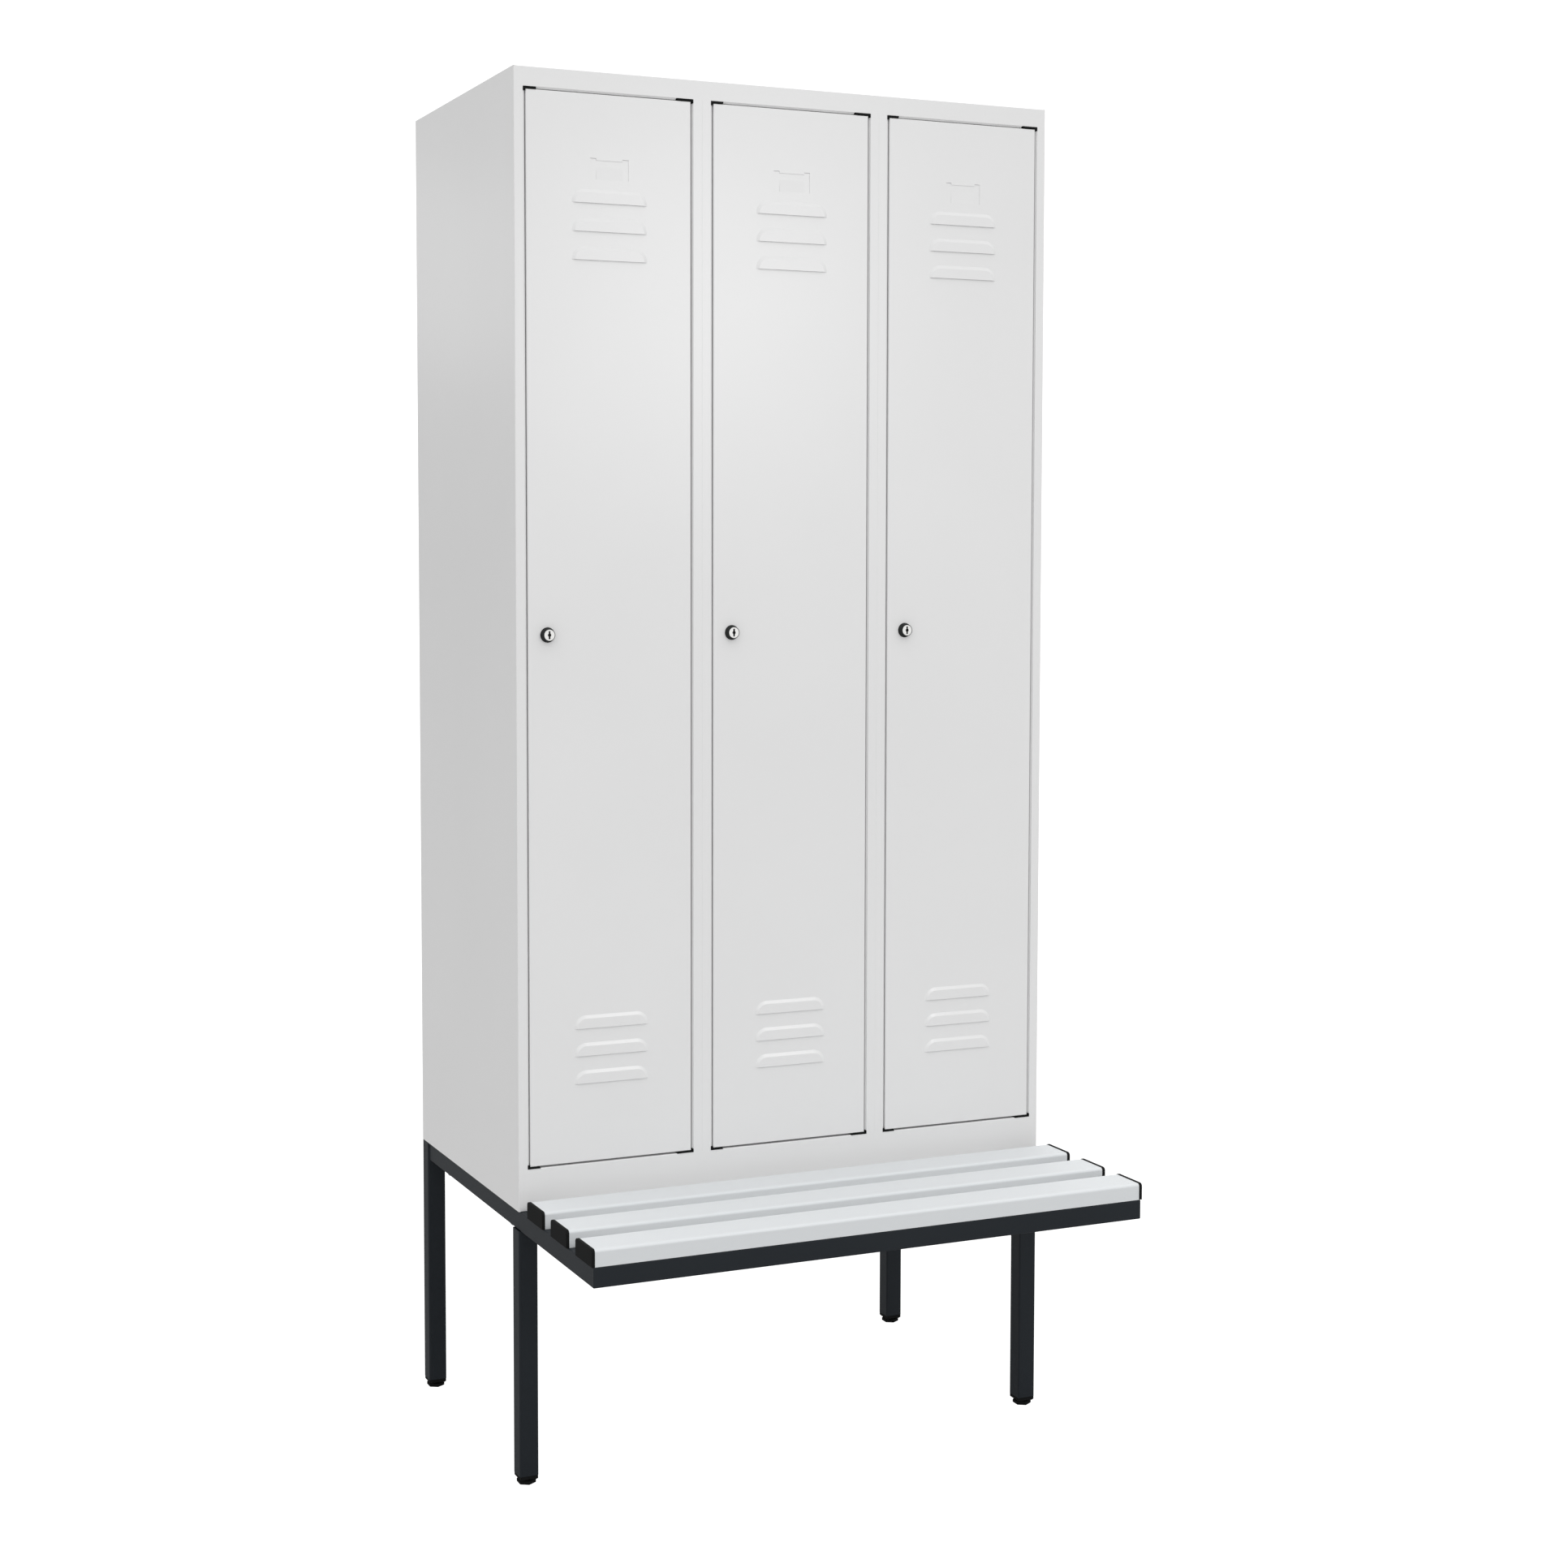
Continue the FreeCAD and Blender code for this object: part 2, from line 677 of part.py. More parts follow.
def side_rail():
    """Left side rail from the front corner, where it is mitred, back to the rear leg."""
    inner_x, inner_y = rail_left + rail_width, bench_front_y + rail_width
    bar = tube((rail_left, inner_x), (bench_front_y, rear_y - leg_side), (rail_bottom, base_height), 1,
               rail_wall, rail_corner)
    points = [at(rail_left, bench_front_y, rail_bottom), at(inner_x, bench_front_y, rail_bottom),
              at(inner_x, inner_y, rail_bottom)]
    mitre = outline(points[0], points[1:]).extrude(at(0, 0, rail_height))
    holes = fastener_holes(screw_radius, screw_places) + fastener_holes(bolt_radius, bolt_places)
    return bar.cut([mitre] + holes)


def front_rail():
    """Front rail between the two mitred corners."""
    inner_x, inner_y = rail_left + rail_width, bench_front_y + rail_width
    bar = tube((rail_left, rail_right), (bench_front_y, inner_y), (rail_bottom, base_height), 0,
               rail_wall, rail_corner)
    points = [at(rail_left, bench_front_y, rail_bottom), at(inner_x, inner_y, rail_bottom),
              at(rail_left, inner_y, rail_bottom)]
    mitre = outline(points[0], points[1:]).extrude(at(0, 0, rail_height))
    return bar.cut([mitre, mirrored(mitre)])


def cross_rail(y):
    """Cross tube between the side rails, under the cabinet."""
    x_ends = (rail_left + rail_width, rail_right - rail_width)
    return tube(x_ends, (y, y + rail_width), (rail_bottom, base_height), 0, rail_wall, rail_corner)


# Bench slats
def slat_bar(k, x_ends):
    """A bar with the outer section of a slat, rounded along its two upper edges."""
    x, low, high = x_ends[0], base_height, base_height + slat_height
    front, rear = slat_front(k), slat_front(k) + slat_depth
    knee = slat_corner * (1 - math.sqrt(0.5))
    steps = [at(x, rear, low), at(x, rear, high - slat_corner),
             (at(x, rear - knee, high - knee), at(x, rear - slat_corner, high)),
             at(x, front + slat_corner, high),
             (at(x, front + knee, high - knee), at(x, front, high - slat_corner))]
    return outline(at(x, front, low), steps).extrude(at(x_ends[1] - x_ends[0], 0, 0))


def slat_cores(k, x_ends, clearance):
    """The bars that fill the chambers of a slat, smaller by a clearance."""
    margin = slat_wall + clearance
    z_ends = (base_height + margin, base_height + slat_height - margin)
    pitch = (slat_depth - slat_wall) / slat_chambers
    walls = [slat_front(k) + chamber * pitch for chamber in range(slat_chambers)]
    return [block(x_ends, (wall + margin, wall + pitch - clearance), z_ends) for wall in walls]


def bench_slat(k):
    """Hollow slat with a screw hole at each end of its lower wall."""
    ends = (slat_left, slat_right)
    hole = rod(screw_radius + fit_clearance, at(rail_middle, screw_places[k], base_height - slat_wall),
               at(rail_middle, screw_places[k], base_height + slat_wall + cap_clearance))
    return slat_bar(k, ends).cut(slat_cores(k, ends, 0) + [hole, mirrored(hole)])


def slat_end_cap(k):
    """Cap on the left end of a slat, with a plug in each chamber."""
    plate = slat_bar(k, (slat_left - cap_thickness, slat_left))
    return fused([plate] + slat_cores(k, (slat_left, cap_plug_end), cap_clearance))


# Fasteners and feet
def slat_screw(y):
    """Screw up through the left side rail into a slat."""
    seat = at(rail_middle, y, rail_bottom)
    tip = at(rail_middle, y, base_height + slat_wall + screw_bite)
    head = rod(screw_head_radius, seat - at(0, 0, screw_head_height), seat)
    return fused([head, rod(screw_radius, seat, tip)])


def hexagon_bar(radius, x, y, low, high):
    """A six-sided bar with two corners on the Y direction."""
    angles = [math.radians(90 + 60 * corner) for corner in range(6)]
    points = [at(x + radius * math.cos(a), y + radius * math.sin(a), low) for a in angles]
    return outline(points[0], points[1:]).extrude(at(0, 0, high - low))


def cabinet_bolt(y):
    """Bolt up through the left side rail into the flange of the cabinet side."""
    seat, tip = at(rail_middle, y, rail_bottom), at(rail_middle, y, base_height + bolt_grip)
    head = hexagon_bar(bolt_head_radius, rail_middle, y, rail_bottom - bolt_head_height, rail_bottom)
    return fused([head, rod(bolt_radius, seat, tip)])


def leg_plug(x, y):
    """Plastic plug in the lower end of a leg, with a chamfered lip below and a bore for the stud."""
    low, high = leg_bottom - plug_lip, leg_bottom + plug_depth

    def square(margin, z_ends):
        far = leg_side - margin
        return block((x + margin, x + far), (y + margin, y + far), z_ends)

    lip = square(plug_inset, (low, leg_bottom))
    lip = lip.makeChamfer(plug_chamfer, edges_at(lip, 2, low))
    plug = square(leg_wall + fit_clearance, (leg_bottom, high))
    plug = plug.makeFillet(leg_corner, edges_along(plug, 2))
    middle_x, middle_y = x + leg_side / 2, y + leg_side / 2
    bore = rod(stud_radius + stud_clearance, at(middle_x, middle_y, low), at(middle_x, middle_y, high))
    return fused([lip, plug]).cut(bore)


def levelling_foot(x, y):
    """Six-sided pad on the floor with a stud up into the plug."""
    middle_x, middle_y = x + leg_side / 2, y + leg_side / 2
    pad = hexagon_bar(foot_pad_radius, middle_x, middle_y, 0, foot_pad_height)
    pad = pad.makeChamfer(foot_pad_chamfer, edges_at(pad, 2, 0))
    stud = rod(stud_radius, at(middle_x, middle_y, foot_pad_height),
               at(middle_x, middle_y, foot_pad_height + stud_length))
    return fused([pad, stud])


# Write every piece
os.makedirs("parts", exist_ok=True)
compartments = range(len(compartment_names))

left_side = side_panel()
save("left_side_panel", left_side)
save("right_side_panel", mirrored(left_side))
save("rear_panel", rear_panel())
save("top_panel", top_panel())
save("floor_panel", floor_panel())
for k, seam in enumerate(seams):
    save("partition_" + str(k + 1), partition(seam))
save("partition_half_stiles", *[half_stile(seam) for seam in seams])

for i in compartments:
    name = compartment_names[i]
    save("hat_shelf_" + name, hat_shelf(i))
    save("coat_rail_" + name, coat_rail(i))
    rail_centre = sum(inner_walls(i)) / 2
    for k, hook in enumerate(hook_names):
        place = rail_centre + (k - (len(hook_names) - 1) / 2) * hook_spacing
        save("coat_hook_" + name + "_" + hook, coat_hook(place))
save("coat_rail_brackets", *[bracket for i in compartments for bracket in coat_rail_brackets(i)])

corners = ((lintel_z, 1, door_top_gap), (floor_z, -1, door_bottom_gap))
save("hinge_bearings", *[hinge_bearing(i, *corner) for i in compartments for corner in corners])
save("door_buffers", *[door_buffer(i, *corner) for i in compartments for corner in corners])

door_pieces = {"door_panel": [door_panel()], "hinge_pins": hinge_pins(), "lock_housing": [lock_housing()],
               "lock_cylinder": [lock_cylinder()], "lock_cam": [lock_cam()]}
for i in compartments:
    for piece, solids in door_pieces.items():
        moved = [solid.translated(at(i * module, 0, 0)) for solid in solids]
        save(piece + "_" + compartment_names[i], *moved)

leg_right_x, leg_rear_y = right_x - leg_side, rear_y - leg_side
leg_places = {"front_left": (left_x, front_y), "front_right": (leg_right_x, front_y),
              "rear_left": (left_x, leg_rear_y), "rear_right": (leg_right_x, leg_rear_y)}
for name, (x, y) in leg_places.items():
    save("leg_" + name, leg(x, y, rail_bottom if name.startswith("front") else base_height))
    save("levelling_foot_" + name, levelling_foot(x, y))
save("leg_plugs", *[leg_plug(x, y) for x, y in leg_places.values()])

left_rail = side_rail()
save("side_rail_left", left_rail)
save("side_rail_right", mirrored(left_rail))
save("front_rail", front_rail())
rear_cross_y = leg_rear_y - rear_cross_gap - rail_width
save("cross_rails", cross_rail(front_y + rail_inset), cross_rail(rear_cross_y))

for k, name in enumerate(slat_names):
    save("bench_slat_" + name, bench_slat(k))
left_caps = [slat_end_cap(k) for k in range(len(slat_names))]
save("slat_end_caps", *left_caps, *[mirrored(cap) for cap in left_caps])
left_screws = [slat_screw(y) for y in screw_places]
save("slat_screws", *left_screws, *[mirrored(screw) for screw in left_screws])
left_bolts = [cabinet_bolt(y) for y in bolt_places]
save("cabinet_bolts", *left_bolts, *[mirrored(bolt) for bolt in left_bolts])
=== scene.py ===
# %% [markdown]
# # Dressing a changing-room locker
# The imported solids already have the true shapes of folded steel, tubes and slats. This lesson leaves
# them where they are and adds what solids lack: finishes, moulded roundings, weld marks, light and a
# camera. Objects are in metres, in the same frame as the solids, and small shapes are worked out in
# millimetres.

# %% Load the solids
import json
import math
import bmesh
import bpy
import numpy as np
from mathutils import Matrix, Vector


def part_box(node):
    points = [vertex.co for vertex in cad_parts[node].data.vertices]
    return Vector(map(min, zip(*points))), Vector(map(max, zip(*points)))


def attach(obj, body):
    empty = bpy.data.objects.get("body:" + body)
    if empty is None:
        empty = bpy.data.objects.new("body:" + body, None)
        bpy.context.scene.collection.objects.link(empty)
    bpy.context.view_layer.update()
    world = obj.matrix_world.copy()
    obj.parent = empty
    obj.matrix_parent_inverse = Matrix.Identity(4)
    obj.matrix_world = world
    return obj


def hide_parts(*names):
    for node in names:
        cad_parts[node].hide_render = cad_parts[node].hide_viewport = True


MM = 0.001
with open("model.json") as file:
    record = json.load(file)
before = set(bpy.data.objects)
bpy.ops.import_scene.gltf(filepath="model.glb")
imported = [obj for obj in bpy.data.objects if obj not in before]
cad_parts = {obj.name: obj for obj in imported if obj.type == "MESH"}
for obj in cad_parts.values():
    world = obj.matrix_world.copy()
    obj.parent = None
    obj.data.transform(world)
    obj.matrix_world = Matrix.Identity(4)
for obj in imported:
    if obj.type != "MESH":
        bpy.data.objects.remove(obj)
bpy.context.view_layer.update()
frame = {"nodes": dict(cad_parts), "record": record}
nodes = frame["nodes"]

# %% [markdown]
# ## The camera
# The picture was taken from the left, at about chest height, with a long lens that keeps the uprights
# almost parallel. A view camera does that by sliding its lens; a little of that slide is kept as shift,
# and a small downward tilt does the rest, so that other views stay centred.

# %% Camera
PHOTO_SIDE = 1932
FOCAL_PIXELS = 2971.0
SENSOR_WIDTH = 36.0
CAMERA_PLACE = (-1.606, -3.484, 1.407)
TILT_DOWN, TURN_RIGHT = 3.56, 23.33
SHIFT_ACROSS, SHIFT_UP = 0.05, -0.05
camera_data = bpy.data.cameras.new("studio_camera")
camera_data.sensor_width = SENSOR_WIDTH
camera_data.lens = FOCAL_PIXELS / PHOTO_SIDE * SENSOR_WIDTH
camera_data.shift_x, camera_data.shift_y = SHIFT_ACROSS, SHIFT_UP
camera = bpy.data.objects.new("studio_camera", camera_data)
camera.location = CAMERA_PLACE
camera.rotation_euler = (math.radians(90 - TILT_DOWN), 0, math.radians(-TURN_RIGHT))
bpy.context.scene.collection.objects.link(camera)
bpy.context.scene.camera = camera
print("lens:", round(camera_data.lens, 2), "mm")

# %% [markdown]
# ## Small tools
# Colours are written as screen values and turned to linear light once. One function adds a shader node
# with its settings and links. A shape is a profile that is carried along a path or turned about an axis,
# and the grid of points that this gives becomes a closed mesh.

# %% Colour and node tools
def to_linear(hex_colour):
    """Linear RGBA of an sRGB hex colour: c / 12.92 in the darks, else ((c + 0.055) / 1.055) to the 2.4."""
    screen = np.array([int(hex_colour[i:i + 2], 16) for i in (1, 3, 5)]) / 255
    linear = np.where(screen <= 0.04045, screen / 12.92, ((screen + 0.055) / 1.055) ** 2.4)
    return (*linear.tolist(), 1.0)


def add_node(tree, kind, inputs=(), links=(), **settings):
    """A shader node with its settings, the values of its inputs, and links from other nodes' outputs."""
    node = tree.nodes.new(kind)
    for name, value in settings.items():
        setattr(node, name, value)
    for socket, value in dict(inputs).items():
        node.inputs[socket].default_value = value
    for socket, source in dict(links).items():
        tree.links.new(source, node.inputs[socket])
    return node


def blank_material(name, **values):
    """A new material with a Principled shader, and the object coordinates that its patterns read."""
    material = bpy.data.materials.new(name)
    material.use_nodes = True
    tree = material.node_tree
    tree.nodes.clear()
    sockets = {name.replace("_", " "): value for name, value in values.items()}
    shader = add_node(tree, "ShaderNodeBsdfPrincipled", sockets)
    add_node(tree, "ShaderNodeOutputMaterial", links={"Surface": shader.outputs["BSDF"]})
    return material, tree, shader, add_node(tree, "ShaderNodeTexCoord").outputs["Object"]


print("colour and node tools ready")

# %% Shape tools
SHARP_ANGLE = 40.0
X_AXIS, Y_AXIS, Z_AXIS = np.eye(3)[:, None, :]


def box_mm(node):
    """Lowest and highest corner of a solid at rest, in millimetres."""
    return [np.array(corner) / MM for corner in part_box(node)]


def grid_faces(rows, columns, wrap_rows=False):
    """Quads of a grid of points: (i, j) is joined to (i + 1, j + 1), and each row closes on itself."""
    i, j = np.meshgrid(np.arange(rows if wrap_rows else rows - 1), np.arange(columns), indexing="ij")
    after_i, after_j = (i + 1) % rows, (j + 1) % columns
    corners = [i * columns + j, after_i * columns + j, after_i * columns + after_j, i * columns + after_j]
    return np.stack(corners, axis=-1).reshape(-1, 4).tolist()


def carried(profile, centres, across, up, closed=False):
    """A profile carried along a path: each ring is centre + u * across + v * up for its points (u, v)."""
    u, v = profile[:, 0][None, :, None], profile[:, 1][None, :, None]
    points = centres[:, None, :] + u * across[:, None, :] + v * up[:, None, :]
    rows, columns = points.shape[:2]
    last = (rows - 1) * columns
    ends = [] if closed else [list(range(columns)), list(range(last, last + columns))]
    return points.reshape(-1, 3), grid_faces(rows, columns, closed) + ends


def turned(profile, centre, segments=48):
    """A closed profile of (radius, y) turned about a Y axis: x = r cos t, z = r sin t round a centre."""
    turn = np.linspace(0, 2 * math.pi, segments, endpoint=False)[None, :]
    radius, depth = profile[:, 0][:, None], profile[:, 1][:, None]
    points = np.stack([radius * np.cos(turn), depth + 0 * turn, radius * np.sin(turn)], axis=-1) + centre
    return points.reshape(-1, 3), grid_faces(len(profile), segments, wrap_rows=True)


def joined(shells):
    """Several shells in one list of points and one list of faces."""
    points, faces, start = [], [], 0
    for shell_points, shell_faces in shells:
        points.append(shell_points)
        faces += [[start + corner for corner in face] for face in shell_faces]
        start += len(shell_points)
    return np.concatenate(points), faces


def add_piece(name, shell, material, body):
    """A piece from points in millimetres and faces turned outwards, with its finish, on its body."""
    mesh = bpy.data.meshes.new(name)
    mesh.from_pydata((shell[0] * MM).tolist(), [], shell[1])
    shape = bmesh.new()
    shape.from_mesh(mesh)
    bmesh.ops.recalc_face_normals(shape, faces=shape.faces)
    shape.to_mesh(mesh)
    shape.free()
    mesh.shade_smooth()
    mesh.set_sharp_from_angle(angle=math.radians(SHARP_ANGLE))
    mesh.materials.append(material)
    piece = bpy.data.objects.new(name, mesh)
    bpy.context.scene.collection.objects.link(piece)
    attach(piece, body)
    return piece


print("shape tools ready")

# %% [markdown]
# ## Powder coat
# The cabinet and the tubes are steel sprayed with polyester powder and baked. That gives a satin skin
# with a very fine waviness called orange peel, a couple of millimetres from crest to crest, and a tone
# that drifts slightly over a large panel. Noise at those two sizes drives bump, gloss and colour.

# %% Powder coat material
PEEL_MM, PEEL_HEIGHT_MM, DRIFT_MM, ROUGHNESS_SWING = 2.5, 0.03, 260.0, 0.04


def powder_coat(name, dark_hex, light_hex, roughness, gloss):
    """Satin powder coat: fine waves in the skin, and a slow drift between two close tones."""
    material, tree, shader, place = blank_material(name, IOR=1.5, Specular_IOR_Level=gloss)
    peel = add_node(tree, "ShaderNodeTexNoise", {"Scale": 1 / (PEEL_MM * MM), "Detail": 1.0},
                    {"Vector": place})
    drift = add_node(tree, "ShaderNodeTexNoise", {"Scale": 1 / (DRIFT_MM * MM), "Detail": 2.0},
                     {"Vector": place})
    tone = add_node(tree, "ShaderNodeMix", {6: to_linear(dark_hex), 7: to_linear(light_hex)},
                    {0: drift.outputs["Fac"]}, data_type="RGBA")
    gloss_map = add_node(tree, "ShaderNodeMapRange",
                         {3: roughness - ROUGHNESS_SWING, 4: roughness + ROUGHNESS_SWING},
                         {0: peel.outputs["Fac"]})
    skin = add_node(tree, "ShaderNodeBump", {"Strength": 0.25, "Distance": PEEL_HEIGHT_MM * MM},
                    {"Height": peel.outputs["Fac"]})
    tree.links.new(tone.outputs[2], shader.inputs["Base Color"])
    tree.links.new(gloss_map.outputs[0], shader.inputs["Roughness"])
    tree.links.new(skin.outputs["Normal"], shader.inputs["Normal"])
    return material


light_grey_coat = powder_coat("light_grey_polyester_powder_coat", "#E3E3E3", "#E7E7E7", 0.3, 0.45)
anthracite_coat = powder_coat("anthracite_polyester_powder_coat", "#1A1F24", "#1E2328", 0.55, 0.22)
print("powder coats:", light_grey_coat.name, anthracite_coat.name)

# %% [markdown]
# ## Plastics
# The slats are hollow PVC profiles pushed through a die, which leaves faint lines along their length.
# The caps, corner pieces, feet and hooks are black moulded polyamide with a fine spark-eroded grain, and
# the lock collars are the same plastic in a dark grey.

# %% Extruded and moulded plastic
LINE_MM, LINE_RUN_MM, LINE_HEIGHT_MM = 1.2, 400.0, 0.02
GRAIN_MM, GRAIN_HEIGHT_MM = 0.8, 0.04
PVC_SMOOTH, PVC_ROUGH = 0.38, 0.5
POLYAMIDE_SMOOTH, POLYAMIDE_ROUGH, POLYAMIDE_GLOSS = 0.7, 0.9, 0.12


def extruded_pvc(name, hex_colour):
    """Satin PVC with drawn-out die lines along X: noise squeezed across Y and Z and stretched along X."""
    material, tree, shader, place = blank_material(name, Base_Color=to_linear(hex_colour), IOR=1.53)
    along, across = 1 / (LINE_RUN_MM * MM), 1 / (LINE_MM * MM)
    stretch = add_node(tree, "ShaderNodeMapping", {"Scale": (along, across, across)}, {"Vector": place})
    lines = add_node(tree, "ShaderNodeTexNoise", {"Scale": 1.0, "Detail": 2.0},
                     {"Vector": stretch.outputs["Vector"]})
    gloss_map = add_node(tree, "ShaderNodeMapRange", {3: PVC_SMOOTH, 4: PVC_ROUGH},
                         {0: lines.outputs["Fac"]})
    skin = add_node(tree, "ShaderNodeBump", {"Strength": 0.3, "Distance": LINE_HEIGHT_MM * MM},
                    {"Height": lines.outputs["Fac"]})
    tree.links.new(gloss_map.outputs[0], shader.inputs["Roughness"])
    tree.links.new(skin.outputs["Normal"], shader.inputs["Normal"])
    return material


def moulded_polyamide(name, hex_colour):
    """Dull dark plastic: a cell pattern gives the spark-eroded grain of the mould."""
    material, tree, shader, place = blank_material(name, Base_Color=to_linear(hex_colour), IOR=1.5,
                                                   Specular_IOR_Level=POLYAMIDE_GLOSS)
    grain = add_node(tree, "ShaderNodeTexVoronoi", {"Scale": 1 / (GRAIN_MM * MM)}, {"Vector": place})
    gloss_map = add_node(tree, "ShaderNodeMapRange", {3: POLYAMIDE_SMOOTH, 4: POLYAMIDE_ROUGH},
                         {0: grain.outputs["Distance"]})
    skin = add_node(tree, "ShaderNodeBump", {"Strength": 0.4, "Distance": GRAIN_HEIGHT_MM * MM},
                    {"Height": grain.outputs["Distance"]})
    tree.links.new(gloss_map.outputs[0], shader.inputs["Roughness"])
    tree.links.new(skin.outputs["Normal"], shader.inputs["Normal"])
    return material


slat_pvc = extruded_pvc("light_grey_extruded_pvc", "#D5D8DA")
black_polyamide = moulded_polyamide("black_moulded_polyamide", "#141515")
collar_polyamide = moulded_polyamide("dark_grey_moulded_polyamide", "#2B2D2D")
print("plastics:", slat_pvc.name, black_polyamide.name, collar_polyamide.name)

# %% [markdown]
# ## Plated metals
# The lock cylinders are turned brass with bright nickel plate; their keyholes look black because little
# light comes back out, so the walls of each keyhole are painted near-black: painted shade. Bolts, pins,
# cams and coat rails are zinc plated, which is greyer and cloudy.

# %% Plated metal materials
lock_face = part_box("lock_cylinder_left")[0].y
FACE_DEPTH, KEYHOLE_DEPTH, METAL_SHARE = 0.2 * MM, 4.5 * MM, 0.4
TURNING_MM, CLOUD_MM = 0.35, 9.0
NICKEL_SMOOTH, NICKEL_ROUGH = 0.4, 0.52
ZINC_SMOOTH, ZINC_ROUGH = 0.3, 0.45


def nickel_plate(name, hex_colour, keyhole_shade_hex):
    """Satin nickel with fine turning marks; the keyhole walls behind the face get painted shade,
    near-black and not metal.
    """
    material, tree, shader, place = blank_material(name)
    marks = add_node(tree, "ShaderNodeTexNoise", {"Scale": 1 / (TURNING_MM * MM), "Detail": 2.0},
                     {"Vector": place})
    gloss_map = add_node(tree, "ShaderNodeMapRange", {3: NICKEL_SMOOTH, 4: NICKEL_ROUGH},
                         {0: marks.outputs["Fac"]})
    depth = add_node(tree, "ShaderNodeSeparateXYZ", links={0: place})
    # painted shade: faces 0.2 to 4.5 mm behind the lock face, the walls of the keyhole, turn near-black
    # and lose their metal
    behind = add_node(tree, "ShaderNodeMath", {1: lock_face + FACE_DEPTH}, {0: depth.outputs["Y"]},
                      operation="GREATER_THAN")
    before = add_node(tree, "ShaderNodeMath", {1: lock_face + KEYHOLE_DEPTH}, {0: depth.outputs["Y"]},
                      operation="LESS_THAN")
    keyhole_shade_mask = add_node(tree, "ShaderNodeMath", links={0: behind.outputs[0], 1: before.outputs[0]},
                      operation="MULTIPLY")
    tone = add_node(tree, "ShaderNodeMix", {6: to_linear(hex_colour), 7: to_linear(keyhole_shade_hex)},
                    {0: keyhole_shade_mask.outputs[0]}, data_type="RGBA")
    metal = add_node(tree, "ShaderNodeMapRange", {3: METAL_SHARE, 4: 0.0}, {0: keyhole_shade_mask.outputs[0]})
    tree.links.new(tone.outputs[2], shader.inputs["Base Color"])
    tree.links.new(metal.outputs[0], shader.inputs["Metallic"])
    tree.links.new(gloss_map.outputs[0], shader.inputs["Roughness"])
    return material


def zinc_plate(name, dark_hex, light_hex):
    """Zinc plated steel: cloudy patches in tone and gloss."""
    material, tree, shader, place = blank_material(name, Metallic=1.0)
    cloud = add_node(tree, "ShaderNodeTexNoise", {"Scale": 1 / (CLOUD_MM * MM), "Detail": 4.0},
                     {"Vector": place})
    tone = add_node(tree, "ShaderNodeMix", {6: to_linear(dark_hex), 7: to_linear(light_hex)},
                    {0: cloud.outputs["Fac"]}, data_type="RGBA")
    gloss_map = add_node(tree, "ShaderNodeMapRange", {3: ZINC_SMOOTH, 4: ZINC_ROUGH},
                         {0: cloud.outputs["Fac"]})
    tree.links.new(tone.outputs[2], shader.inputs["Base Color"])
    tree.links.new(gloss_map.outputs[0], shader.inputs["Roughness"])
    return material


# 0A0A0A is the painted shade colour for the walls of the keyholes
bright_nickel = nickel_plate("bright_nickel_plate", "#EDEDEB", "#0A0A0A")
zinc = zinc_plate("zinc_plated_steel", "#9A9DA0", "#B9BCBE")
print("metals:", bright_nickel.name, zinc.name)

# %% [markdown]
# ## Finishes on the solids
# The record names a finish for every solid, so the solids are dressed from that list.

# %% Dress the solids
FINISHES = {"light_grey_powder_coat": light_grey_coat, "anthracite_powder_coat": anthracite_coat,
            "grey_slat_plastic": slat_pvc, "black_plastic": black_polyamide,
            "nickel_plate": bright_nickel, "zinc_plate": zinc}


def dress(piece, material):
    """Gives a piece one finish all over."""
    piece.data.materials.clear()
    piece.data.materials.append(material)


for part in frame["record"]["subparts"]:
    dress(nodes[part["node"]], FINISHES[part["material_slot"]])

# %% [markdown]
# ## Stop beads round the doors
# Each door closes into its frame with a few millimetres to spare. A low rounded bead is pressed into the
# frame just behind the gap, so that light does not fall straight into the locker and the gap looks pale
# instead of black. It is a half ellipse carried along three straight runs, lower on the hinge side,
# where the edge of the door swings past it.

# %% Beads in the door gaps
COMPARTMENTS = ("left", "middle", "right")
SIDE_GAP, TOP_GAP = 3.8, 3.3
BEAD_DEPTH, BEAD_HALF_WIDTH, BEAD_SUNK = 4.5, 2.5, 0.2
BEAD_LOCK_SIDE, BEAD_HINGE_SIDE, BEAD_TOP = 2.9, 1.5, 2.1
CORNER_LEG, BUFFER_END, BEARING_END = 2.6, 20.6, 27.6
ARCH_POINTS = 11
FRONT = box_mm("top_panel")[0][1]


def bead_run(start, end, outward, height):
    """Half an ellipse, width * cos t by height * sin t, carried straight between two points."""
    t = np.linspace(0, math.pi, ARCH_POINTS)
    arch = np.stack([BEAD_HALF_WIDTH * np.cos(t), height * np.sin(t)], axis=-1)
    foot = np.array([[-BEAD_HALF_WIDTH, -BEAD_SUNK], [BEAD_HALF_WIDTH, -BEAD_SUNK]])
    return carried(np.concatenate([arch, foot]), np.array([start, end]), Y_AXIS, outward)


